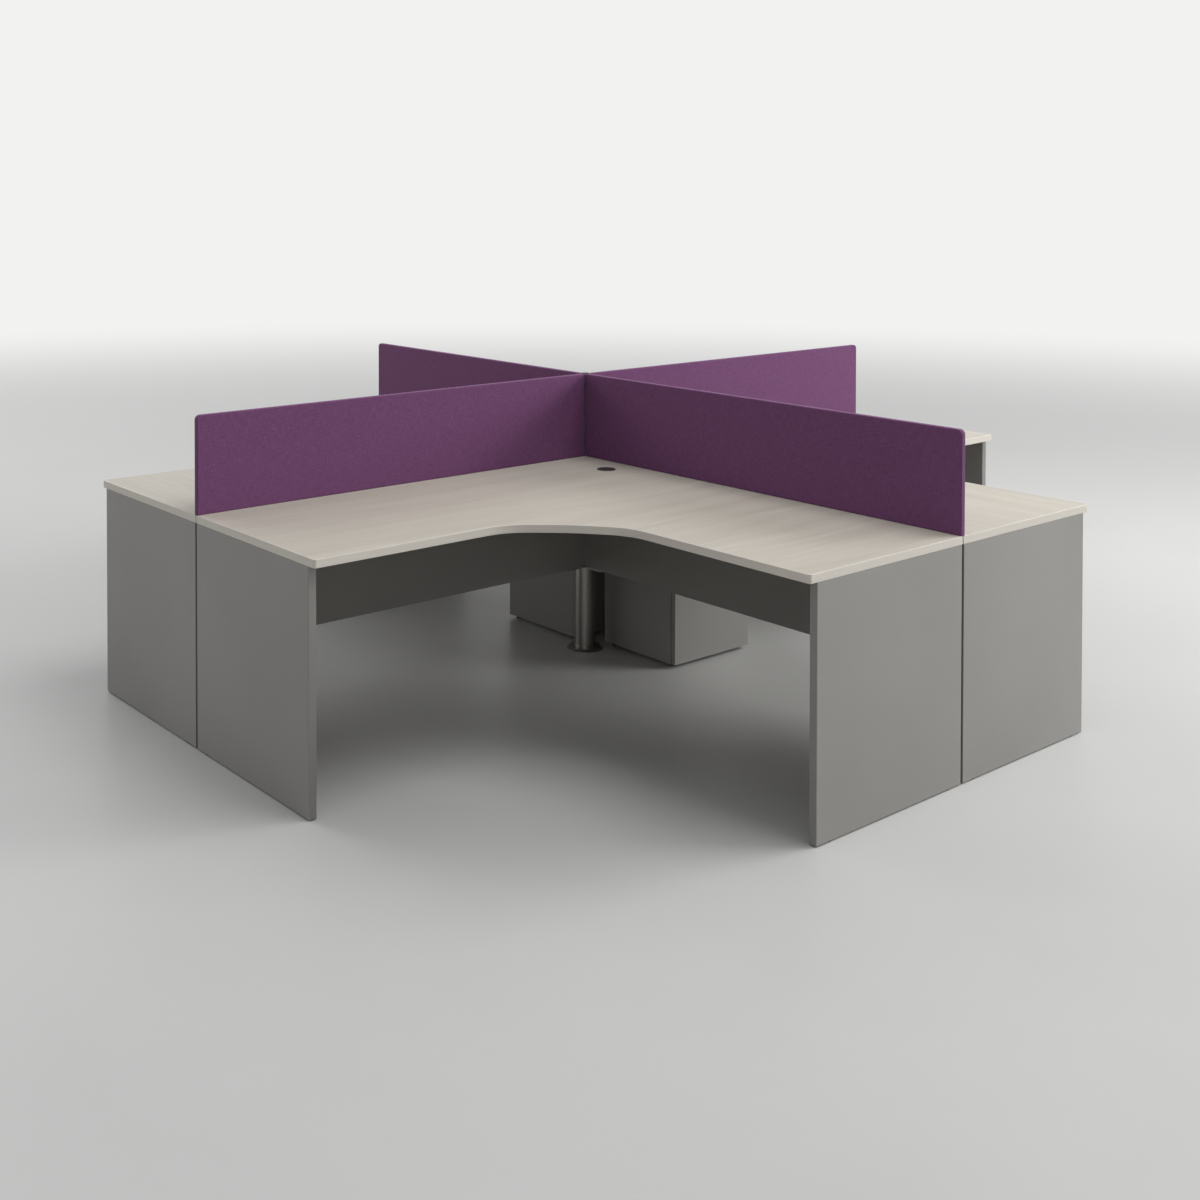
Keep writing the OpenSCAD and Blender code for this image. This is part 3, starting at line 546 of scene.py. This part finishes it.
class WORKSTATION_OT_stage(bpy.types.Operator):
    """Pale floor, soft studio lights and the camera at the photograph's viewing angle"""
    bl_idname = "workstation.stage"
    bl_label = "Stage"

    def execute(self, context):
        scene = context.scene
        scene.view_settings.view_transform = "Standard"
        bm = bmesh.new()
        bmesh.ops.create_circle(bm, cap_ends=True, segments=96, radius=FLOOR_RADIUS)
        mesh = bpy.data.meshes.new("floor")
        bm.to_mesh(mesh)
        bm.free()
        mesh.materials.append(finish(pale_floor))
        floor = bpy.data.objects.new("floor", mesh)
        scene.collection.objects.link(floor)
        self.light_world(scene)
        for softbox in SOFTBOXES:
            self.add_softbox(scene, *softbox)
        self.add_camera(scene)
        return {"FINISHED"}

    def light_world(self, scene):
        """Even light from all round, and the backdrop's colour where the camera or a gloss sees it"""
        scene.world = bpy.data.worlds.new("studio")
        scene.world.use_nodes = True
        tree = scene.world.node_tree
        tree.nodes.clear()
        path = add(tree, "ShaderNodeLightPath").outputs
        seen = path["Is Camera Ray"]
        for ray in ("Is Glossy Ray", "Is Transmission Ray"):
            seen = add(tree, "ShaderNodeMath", {"operation": "MAXIMUM"}, {0: seen, 1: path[ray]}).outputs[0]
        ambient = add(tree, "ShaderNodeBackground", inputs={
            "Color": opaque(linear("#fafbff")), "Strength": AMBIENT_STRENGTH}).outputs[0]
        backdrop = add(tree, "ShaderNodeBackground", inputs={
            "Color": opaque(scene.workstation_colours.backdrop), "Strength": 1.0}).outputs[0]
        mixed = add(tree, "ShaderNodeMixShader", inputs={0: seen, 1: ambient, 2: backdrop}).outputs[0]
        add(tree, "ShaderNodeOutputWorld", inputs={"Surface": mixed})

    def add_softbox(self, scene, name, place, size, power):
        """A square soft light that faces the workstation's middle"""
        middle = Vector((0, 0, 0.5))
        light = bpy.data.lights.new(name, "AREA")
        light.size = size
        light.energy = power
        lamp = bpy.data.objects.new(name, light)
        lamp.location = place
        lamp.rotation_euler = (middle - lamp.location).to_track_quat("-Z", "Y").to_euler()
        scene.collection.objects.link(lamp)

    def add_camera(self, scene):
        """The camera, at the place, heading, tilt and focal length fitted to the photograph"""
        image_width = 1200
        focal_pixels = 1460.1
        axis_pixel_x = 480.0
        axis_pixel_y = 216.0
        heading, tilt = 0.9026, -0.0201
        camera = bpy.data.cameras.new("camera")
        camera.lens = focal_pixels / image_width * camera.sensor_width
        camera.shift_x = (image_width / 2 - axis_pixel_x) / image_width
        camera.shift_y = (axis_pixel_y - image_width / 2) / image_width
        camera.clip_end = 200
        seat = bpy.data.objects.new("camera", camera)
        seat.location = (-3.7765, -4.1329, 1.7709)
        level = math.cos(tilt)
        aim = Vector((math.cos(heading) * level, math.sin(heading) * level, math.sin(tilt)))
        seat.rotation_euler = aim.to_track_quat("-Z", "Y").to_euler()
        scene.collection.objects.link(seat)
        scene.camera = seat


class WORKSTATION_OT_worktops(bpy.types.Operator):
    """Wood-pattern worktops with rounded plastic edging"""
    bl_idname = "workstation.worktops"
    bl_label = "Worktops"

    def execute(self, context):
        for letter, turn in TURNS.items():
            dress([f"desk_{letter}_top"], finish(wood_melamine, -turn % 180))
        bm = eased_copy("worktop_edging", context.scene.workstation_sizes.arris, 3, test=self.is_rim)
        new_piece("worktop_edge_bands", bm, finish(wood_edge_band),
                  replaces=["worktop_edging"])
        return {"FINISHED"}

    def is_rim(self, middle, edge):
        """True for a level edge on the band's outer face, which looks away from the top's middle"""
        if abs(edge.verts[0].co.z - edge.verts[1].co.z) > 0.001:
            return False
        side = min(edge.link_faces, key=lambda face: abs(face.normal.z))
        # A point inside the worktop, close to its two arms' crossing
        inside = 0.42
        crossing = Vector((math.copysign(inside, middle.x), math.copysign(inside, middle.y), middle.z))
        return side.normal.dot(middle - crossing) > 0


class WORKSTATION_OT_panels(bpy.types.Operator):
    """Grey end panels with rounded edging, and modesty panels with a banded lower edge"""
    bl_idname = "workstation.panels"
    bl_label = "Panels"

    def execute(self, context):
        grey = finish(grey_melamine)
        dress([f"desk_{letter}_end_panel_{side}" for letter in TURNS for side in ("left", "right")], grey)
        dress([f"desk_{letter}_modesty_panels" for letter in TURNS], grey)
        self.band_end_panels(context.scene.workstation_sizes.arris)
        self.band_modesty_panels()
        return {"FINISHED"}

    def band_end_panels(self, arris):
        """Edging on the front and back edges of the end panels"""
        low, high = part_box("desk_c_end_panel_left")
        depth = low.y - MODESTY_LOW.y
        bm = bmesh.new()
        for start, outside in ((low.y - depth, low.y - depth), (high.y, high.y + depth)):
            verts = cuboid(bm, (low.x, start, low.z), (high.x, start + depth, high.z))
            upright = edges_of(verts, lambda a, b: abs(a.z - b.z) > 0.1
                               and max(abs(a.y - outside), abs(b.y - outside)) < 0.00001)
            ease(bm, upright, arris)
        repeat(bm, every_wing())
        new_piece("end_panel_edge_bands", bm, finish(grey_edge_band),
                  replaces=["end_panel_edging"])

    def band_modesty_panels(self):
        """A thin band below each modesty panel, from the middle leg's head plate on"""
        thickness = 0.0008
        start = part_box("middle_leg_head")[1].x + BUTT_GAP
        bm = bmesh.new()
        board(bm, (start, MODESTY_LOW.y, MODESTY_LOW.z - thickness),
              (MODESTY_HIGH.x, WALL_INSIDE, MODESTY_LOW.z), thickness / 2, 1)
        repeat(bm, every_wing())
        new_piece("modesty_edge_bands", bm, finish(grey_edge_band))


class WORKSTATION_OT_screens(bpy.types.Operator):
    """Padded screens in purple cloth, their aluminium joiner and its black cap"""
    bl_idname = "workstation.screens"
    bl_label = "Screens"

    def execute(self, context):
        sizes = context.scene.workstation_sizes
        for node, letter in SCREENS.items():
            bm = self.padded_board(node, sizes)
            self.map_cloth(bm)
            bmesh.ops.transform(bm, matrix=turned(letter), verts=bm.verts)
            new_piece(f"{node}_cloth", bm, finish(woven_cloth), replaces=[node])
        self.add_joiner()
        return {"FINISHED"}

    def padded_board(self, node, sizes):
        """A board as long as a screen, with one rounded upper corner and soft edges all round"""
        low, high = (Vector(corner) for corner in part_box("screen_bc"))
        high.x = max(abs(side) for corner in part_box(node) for side in corner[:2])
        bm = bmesh.new()
        corners = [(low.x, low.z), (high.x, low.z), (high.x, high.z), (low.x, high.z)]
        verts = [bm.verts.new((x, low.y, z)) for x, z in corners]
        bm.faces.new(verts)
        bmesh.ops.bevel(
            bm, geom=[verts[2]], offset=sizes.screen_corner, offset_type="OFFSET", affect="VERTICES",
            segments=12, profile=0.5, material=-1)
        extrude_solid(bm, bm.faces[:], (0, high.y - low.y, 0))
        rims = [e for e in bm.edges if abs(e.verts[0].co.y - e.verts[1].co.y) < 0.000001]
        ease(bm, rims, sizes.screen_edge, 5)
        return bm

    def map_cloth(self, bm):
        """A UV map in metres whose threads run level and upright on every face"""
        layer = bm.loops.layers.uv.new("cloth")
        for face in bm.faces:
            normal = face.normal
            for loop in face.loops:
                place = loop.vert.co
                if abs(normal.y) > 0.7:
                    loop[layer].uv = (place.x, place.z)
                elif abs(normal.z) > abs(normal.x):
                    loop[layer].uv = (place.x, place.y)
                else:
                    loop[layer].uv = (place.y, place.z)

    def add_joiner(self):
        """Square aluminium post between the four screens, with a moulded cap"""
        for node, name, maker, slot, arris, segments in (
            ("screen_joiner", "joiner_post", anodised_aluminium, "joiner_aluminium", 0.0006, 2),
            ("screen_joiner_cap", "joiner_post_cap", black_abs, "black_plastic", 0.001, 3),
        ):
            bm = bmesh.new()
            board(bm, *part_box(node), arris, segments)
            new_piece(name, bm, finish(maker), replaces=[node])


class WORKSTATION_OT_middle_leg(bpy.types.Operator):
    """Chrome-plated middle leg: tube, round foot and four-armed head plate"""
    bl_idname = "workstation.middle_leg"
    bl_label = "Middle Leg"

    def execute(self, context):
        chrome = finish(satin_chrome)
        wall, arris = 0.002, 0.0006
        low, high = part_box("middle_leg_tube")
        inner, outer = high.x - wall, high.x
        bm = bmesh.new()
        lathe(bm, [(inner, low.z), (outer, low.z), (outer, high.z), (inner, high.z), (inner, low.z)], 96)
        new_piece("leg_tube", bm, chrome, replaces=["middle_leg_tube"])
        for node in ("middle_leg_foot", "middle_leg_head"):
            new_piece(f"{node}_eased", eased_copy(node, arris, 2), chrome, replaces=[node])
        return {"FINISHED"}


class WORKSTATION_OT_grommets(bpy.types.Operator):
    """Black cable grommets with turning caps"""
    bl_idname = "workstation.grommets"
    bl_label = "Grommets"

    def execute(self, context):
        plastic = finish(black_abs)
        sleeve_arris, cap_arris = 0.0004, 0.0006
        bm = eased_copy("grommet_sleeves", sleeve_arris, 2, test=self.is_upper)
        new_piece("sleeves", bm, plastic, replaces=["grommet_sleeves"])
        for letter in TURNS:
            node = f"grommet_cap_{letter}"
            bm = eased_copy(node, cap_arris, 3, test=self.is_upper)
            new_piece(f"cap_{letter}", bm, plastic, f"cap_{letter}", [node])
        return {"FINISHED"}

    def is_upper(self, middle, edge):
        """True for an edge on the grommet's upper face, 2 mm above the worktop"""
        least_rise = 0.0015
        return middle.z > DESK_HEIGHT + least_rise


class WORKSTATION_OT_fittings(bpy.types.Operator):
    """Zinc-plated brackets, plates, bolts and screws, and black glides"""
    bl_idname = "workstation.fittings"
    bl_label = "Fittings"

    def execute(self, context):
        zinc = finish(zinc_plated_steel)
        bracket_arris = 0.0004
        dress(["screen_bracket_plates", "tie_bolt", "wood_screws"], zinc)
        dress(["levelling_glides"], finish(black_abs))
        new_piece("brackets", eased_copy("angle_brackets", bracket_arris, 1), zinc,
                  replaces=["angle_brackets"])
        bm = bmesh.new()
        self.add_screw_head(bm)
        repeat(bm, [wing @ bracket @ seat for wing in every_wing()
                    for bracket in self.bracket_places() for seat in self.screw_seats()])
        new_piece("bracket_screws", bm, zinc)
        bm = bmesh.new()
        self.add_bolt(bm)
        along_y = Matrix.Rotation(math.radians(-90), 4, "X")
        repeat(bm, [turned(letter) @ Matrix.Translation((x, 0, BOLT_HEIGHT)) @ along_y
                    for letter in TURNS for x in BOLT_PLACES])
        new_piece("screen_bolts", bm, zinc, replaces=["joining_bolts"])
        return {"FINISHED"}

    def bracket_places(self):
        """Places of a left wing's brackets: one leg along +Y below a board, one down against a face"""
        places = [Matrix.Translation((x, WALL_INSIDE, UNDERSIDE)) for x in MODESTY_BRACKETS]
        quarter = Matrix.Rotation(math.radians(90), 4, "Z")
        places += [Matrix.Translation((PANEL_INSIDE, y, UNDERSIDE)) @ quarter for y in PANEL_BRACKETS]
        side = Matrix.Translation((PANEL_INSIDE, WALL_INSIDE, SIDE_BRACKET_HEIGHT))
        return [*places, side @ Matrix.Rotation(math.radians(90), 4, "Y")]

    def screw_seats(self):
        """The two screws of a bracket, with their heads out along +Z"""
        below = Matrix.Translation((0, SCREW_INSET, -BRACKET_THICKNESS))
        beside = Matrix.Translation((0, BRACKET_THICKNESS, -SCREW_INSET))
        return [below @ Matrix.Rotation(math.pi, 4, "X"), beside @ Matrix.Rotation(-math.pi / 2, 4, "X")]

    def add_screw_head(self, bm):
        """A pan head with a cross recess, on the plane z = 0: a square top, a round shoulder just below
        it, and a skirt that goes down in two steps"""
        height, radius, recess, square = 0.0021, 0.004, 0.0011, 0.0024
        shoulder_size, shoulder_height, upper_drop, lower_drop = 0.85, 0.8, 0.45, 0.35
        grid = bmesh.ops.create_grid(bm, x_segments=3, y_segments=3, size=square)["verts"]
        bmesh.ops.translate(bm, vec=(0, 0, height), verts=grid)
        rim = [e for e in bm.edges if e.is_boundary]
        shoulder = bmesh.ops.create_circle(bm, segments=12, radius=radius * shoulder_size)["verts"]
        bmesh.ops.translate(bm, vec=(0, 0, height * shoulder_height), verts=shoulder)
        half_step = Matrix.Rotation(math.radians(15), 3, "Z")
        bmesh.ops.rotate(bm, cent=(0, 0, 0), matrix=half_step, verts=shoulder)
        ring = [e for e in bm.edges if e.is_wire]
        bmesh.ops.bridge_loops(bm, edges=rim + ring)
        for size, drop in ((1 / shoulder_size, upper_drop), (1.0, lower_drop)):
            skirt = bmesh.ops.extrude_edge_only(bm, edges=ring)["geom"]
            verts = of_kind(bmesh.types.BMVert, skirt)
            ring = of_kind(bmesh.types.BMEdge, skirt)
            bmesh.ops.scale(bm, vec=(size, size, 1), verts=verts)
            bmesh.ops.translate(bm, vec=(0, 0, -height * drop), verts=verts)
        # The cross is the middle square of the top and the four beside it
        cross = [f for f in bm.faces if min(abs(c) for c in f.calc_center_median().xy) < 0.0004
                 and f.calc_center_median().xy.length < 0.002 and f.normal.z ** 2 > 0.9]
        sink(bm, cross, (0, 0, -recess))

    def add_bolt(self, bm):
        """A sleeve-nut bolt along Z with a low domed head and a hexagon socket at each end, and the
        two spacers beside the bracket plate"""
        socket, depth, spacer, half_plate = 0.0028, 0.002, BOLT_RADIUS + 0.004, 0.0015
        end = WALL_INSIDE + BOLT_HEAD
        # Radii and heights, from the socket's floor over the domed head and in to the bracket plate
        half = [
            (0, end - depth), (socket, end - depth), (socket, end), (BOLT_HEAD_RADIUS * 0.78, end - 0.0002),
            (BOLT_HEAD_RADIUS * 0.95, end - 0.0008), (BOLT_HEAD_RADIUS, end - 0.0018),
            (BOLT_HEAD_RADIUS, WALL_INSIDE), (BOLT_RADIUS, WALL_INSIDE), (BOLT_RADIUS, MODESTY_LOW.y),
            (spacer, MODESTY_LOW.y), (spacer, half_plate), (BOLT_RADIUS, half_plate)]
        lathe(bm, half + [(radius, -height) for radius, height in reversed(half)], 24)
        # The round socket becomes a hexagon
        for vert in bm.verts:
            if abs(vert.co.xy.length - socket) < 0.00001:
                turn = math.atan2(vert.co.y, vert.co.x) % math.radians(60) - math.radians(30)
                factor = math.cos(math.radians(30)) / math.cos(turn)
                vert.co.x, vert.co.y = vert.co.x * factor, vert.co.y * factor


class WORKSTATION_OT_pedestals(bpy.types.Operator):
    """Drawer pedestals with banded boards, finger-pull fronts, runners and a lock"""
    bl_idname = "workstation.pedestals"
    bl_label = "Pedestals"

    def execute(self, context):
        for letter in PEDESTALS:
            dress([f"pedestal_{letter}_back"], finish(grey_melamine))
            dress([f"pedestal_{letter}_runners"], finish(zinc_plated_steel))
            self.add_carcass(letter, context.scene.workstation_sizes.band)
            for drawer in DRAWERS:
                self.add_front(letter, drawer)
                self.add_box(letter, drawer)
                self.add_inner_rails(letter, drawer)
            self.add_lock(letter)
        return {"FINISHED"}

    def add_piece(self, name, letter, bm, maker, slot, body="root", replaces=()):
        """Turns a piece of the back desk's pedestal into its place"""
        bmesh.ops.transform(bm, matrix=turned(letter), verts=bm.verts)
        new_piece(f"pedestal_{letter}_{name}", bm, finish(maker), body, replaces)

    def add_carcass(self, letter, band):
        """Two sides and a bottom, a top over the drawer fronts, and a band on every front edge"""
        low, high = CARCASS_LOW, CARCASS_HIGH
        front, side_top = FRONT_LOW.x - FRONT_GAP, high.z - PEDESTAL_BOARD
        left, right = low.y + PEDESTAL_BOARD, high.y - PEDESTAL_BOARD
        band_arris = PEDESTAL_ARRIS * 0.6
        boards, bands = bmesh.new(), bmesh.new()
        for start_y, end_y, end_z in (
            (low.y, left, side_top), (right, high.y, side_top), (left, right, low.z + PEDESTAL_BOARD)
        ):
            board(boards, (low.x, start_y, low.z), (front - band, end_y, end_z), PEDESTAL_ARRIS)
            board(bands, (front - band, start_y, low.z), (front, end_y, end_z), band_arris)
        self.add_top_board(boards, (low.x, low.y, side_top), (high.x - band, high.y, high.z))
        board(bands, (high.x - band, low.y, side_top), high, band_arris)
        self.add_piece("boards", letter, boards, grey_melamine, "panel_board",
                       replaces=[f"pedestal_{letter}_carcass"])
        self.add_piece("bands", letter, bands, grey_edge_band, "panel_edge_band")

    def add_top_board(self, bm, low, high):
        """The top board, with the slot in its underside that the lock's cam turns into"""
        lock_low, lock_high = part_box("pedestal_c_lock")
        room, cam_thickness, pocket_top = 0.003, 0.002, 0.5873
        verts = cuboid(bm, low, high)
        below = [f for f in {f for v in verts for f in v.link_faces} if f.normal.z < -0.9]
        for place, normal in (
            ((lock_low.x - room, 0, 0), (1, 0, 0)), ((lock_low.x + cam_thickness + room, 0, 0), (1, 0, 0)),
            ((0, lock_low.y, 0), (0, 1, 0)), ((0, lock_high.y, 0), (0, 1, 0)),
        ):
            geom = [*below, *{e for f in below for e in f.edges}, *{v for f in below for v in f.verts}]
            cut = bmesh.ops.bisect_plane(bm, geom=geom, plane_co=place, plane_no=normal)["geom"]
            below = of_kind(bmesh.types.BMFace, cut)
        middle = Vector((lock_low.x + cam_thickness / 2, (lock_low.y + lock_high.y) / 2, low[2]))
        slot = min(below, key=lambda face: (face.calc_center_median() - middle).length)
        sink(bm, [slot], (0, 0, pocket_top - low[2]))
        ease(bm, edges_of(verts, lambda a, b: (a - b).length > 0.001), PEDESTAL_ARRIS, 2)

    def add_front(self, letter, drawer):
        """A drawer front whose edges are eased, with the finger hollow behind its top edge"""
        node = f"pedestal_{letter}_front_{drawer}"
        front_arris = 0.0008
        new_piece(f"{node}_eased", eased_copy(node, front_arris, 3, least_angle=40),
                  finish(grey_melamine), f"drawer_{letter}_{drawer}", [node])

    def add_box(self, letter, drawer):
        """A drawer box: four boards round a bottom"""
        low, high = (Vector(corner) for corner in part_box(f"pedestal_c_box_{drawer}"))
        overhang = RUNNER_WIDTH - RUNNER_WALL - RUNNING_GAP
        low.y, high.y = low.y + overhang, high.y - overhang
        back, front = low.x + BOX_WALL, high.x - BOX_WALL
        left, right = low.y + BOX_WALL, high.y - BOX_WALL
        bm = bmesh.new()
        board(bm, low, (back, high.y, high.z), PEDESTAL_ARRIS)
        board(bm, (front, low.y, low.z), high, PEDESTAL_ARRIS)
        board(bm, (back, low.y, low.z), (front, left, high.z), PEDESTAL_ARRIS)
        board(bm, (back, right, low.z), (front, high.y, high.z), PEDESTAL_ARRIS)
        cuboid(bm, (back, left, low.z), (front, right, low.z + BOX_BOTTOM))
        self.add_piece(f"box_{drawer}_boards", letter, bm, drawer_foil, "drawer_lining",
                       f"drawer_{letter}_{drawer}", [f"pedestal_{letter}_box_{drawer}"])

    def add_inner_rails(self, letter, drawer):
        """The channels of rolled steel on a drawer's sides, and the stops on them"""
        rail_start, rail_end, rail_lift, rail_height = 0.059, 0.372, 0.014, 0.034
        stop_start, stop_thickness, stop_room, stop_height = 0.1177, 0.002, 0.004, 0.012
        gap, wall = RUNNER_WALL + RUNNING_GAP, RUNNER_WALL
        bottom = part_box(f"pedestal_c_box_{drawer}")[0].z + rail_lift
        side = CARCASS_LOW.y + PEDESTAL_BOARD
        width = RUNNER_WIDTH - gap
        low, high = bottom + gap, bottom + rail_height - gap
        outline = [(0, low), (width, low), (width, high), (0, high), (0, high - wall),
                   (width - wall, high - wall), (width - wall, low + wall), (0, low + wall)]
        bm = bmesh.new()
        end = bm.faces.new([bm.verts.new((rail_start, side + gap + y, z)) for y, z in outline])
        extrude_solid(bm, [end], (rail_end - rail_start, 0, 0))
        stop_low = bottom + (rail_height - stop_height) / 2
        cuboid(bm, (stop_start, side + stop_room, stop_low),
               (stop_start + stop_thickness, side + RUNNER_WIDTH - wall, stop_low + stop_height))
        across = Matrix.Translation((0, CARCASS_LOW.y + CARCASS_HIGH.y, 0)) @ Matrix.Diagonal((1, -1, 1, 1))
        repeat(bm, [Matrix(), across])
        self.add_piece(f"rails_{drawer}", letter, bm, zinc_plated_steel, "zinc_steel",
                       f"drawer_{letter}_{drawer}")

    def add_lock(self, letter):
        """The lock's barrel with its key slot, and its cam"""
        node = f"pedestal_{letter}_lock"
        lock_arris = 0.0003
        new_piece(f"{node}_barrel", eased_copy(node, lock_arris, 2), finish(polished_nickel),
                  f"lock_{letter}", [node])


class WORKSTATION_PT_pieces(bpy.types.Panel):
    """Settings and pieces of the workstation"""
    bl_label = "Workstation"
    bl_idname = "WORKSTATION_PT_pieces"
    bl_space_type = "VIEW_3D"
    bl_region_type = "UI"
    bl_category = "Workstation"

    def draw(self, context):
        for settings in (context.scene.workstation_sizes, context.scene.workstation_colours):
            for name in type(settings).__annotations__:
                self.layout.prop(settings, name)
        for operator in OPERATORS:
            self.layout.operator(operator.bl_idname)


OPERATORS = [
    WORKSTATION_OT_stage, WORKSTATION_OT_worktops, WORKSTATION_OT_panels, WORKSTATION_OT_screens,
    WORKSTATION_OT_middle_leg, WORKSTATION_OT_grommets, WORKSTATION_OT_fittings, WORKSTATION_OT_pedestals,
]
CLASSES = [WorkstationSizes, WorkstationColours, *OPERATORS, WORKSTATION_PT_pieces]


def register():
    for each in CLASSES:
        bpy.utils.register_class(each)
    bpy.types.Scene.workstation_sizes = PointerProperty(type=WorkstationSizes)
    bpy.types.Scene.workstation_colours = PointerProperty(type=WorkstationColours)


def unregister():
    del bpy.types.Scene.workstation_colours
    del bpy.types.Scene.workstation_sizes
    for each in reversed(CLASSES):
        bpy.utils.unregister_class(each)


def main():
    register()
    bpy.ops.workstation.stage()
    bpy.ops.workstation.worktops()
    bpy.ops.workstation.panels()
    bpy.ops.workstation.screens()
    bpy.ops.workstation.middle_leg()
    bpy.ops.workstation.grommets()
    bpy.ops.workstation.fittings()
    bpy.ops.workstation.pedestals()


if __name__ == "__main__":
    main()
